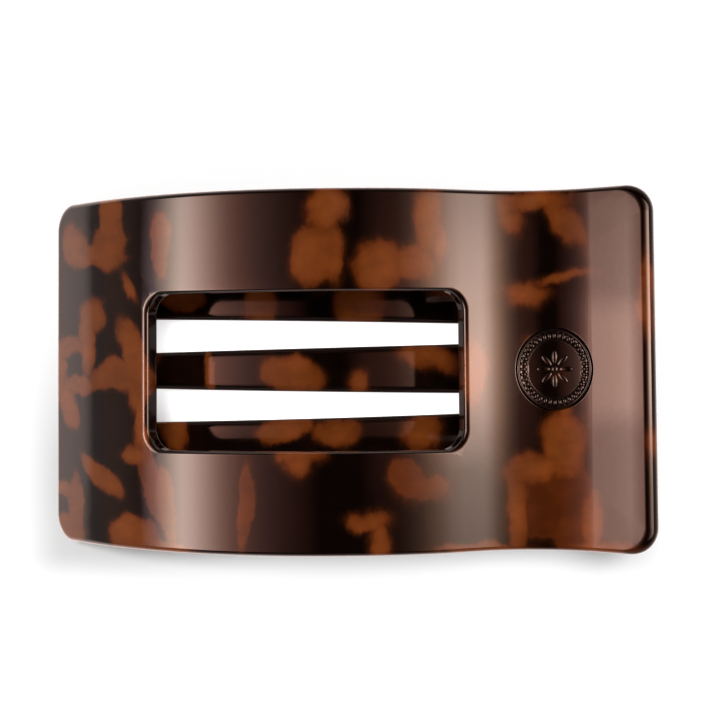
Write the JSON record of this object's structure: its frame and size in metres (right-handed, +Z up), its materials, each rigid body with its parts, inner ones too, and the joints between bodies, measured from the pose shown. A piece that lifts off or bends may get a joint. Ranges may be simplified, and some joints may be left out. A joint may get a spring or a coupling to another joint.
{
  "type": "barrette",
  "caption": "Flat sprung hair clip: a bent tortoiseshell plate with a rounded window over a tined fork, held shut by a torsion spring on a hinge pin under its press end.",
  "frame": {"origin": "on the surface the clip rests on, under the middle of its bounding box", "axes": "+X towards the press end, -X towards the tine tips, +Y across the clip, +Z up out of the top plate"},
  "size_m": [0.0904, 0.053, 0.029],
  "materials": {
    "tortoiseshell": "polished acetate",
    "inlay": "pressed and polished",
    "steel": "bright nickel plate"
  },
  "bodies": {
    "plate": {"top_plate": "tortoiseshell", "medallion": "inlay", "plate_lug_rear": "tortoiseshell", "plate_lug_front": "tortoiseshell", "hinge_pin": "steel", "torsion_spring": "steel"},
    "fork": {"fork": "tortoiseshell", "fork_lug_rear": "tortoiseshell", "fork_lug_front": "tortoiseshell"}
  },
  "joints": [
    {"name": "fork_hinge", "type": "hinge", "parent": "fork", "child": "plate", "pos_m": [0.02685, 0, 0.01163], "axis": [0, 1, 0], "range_deg": [0, 60], "stiffness_Nm_per_rad": 0.2, "springref_deg": -34.38, "deforming": ["torsion_spring"]}
  ]
}
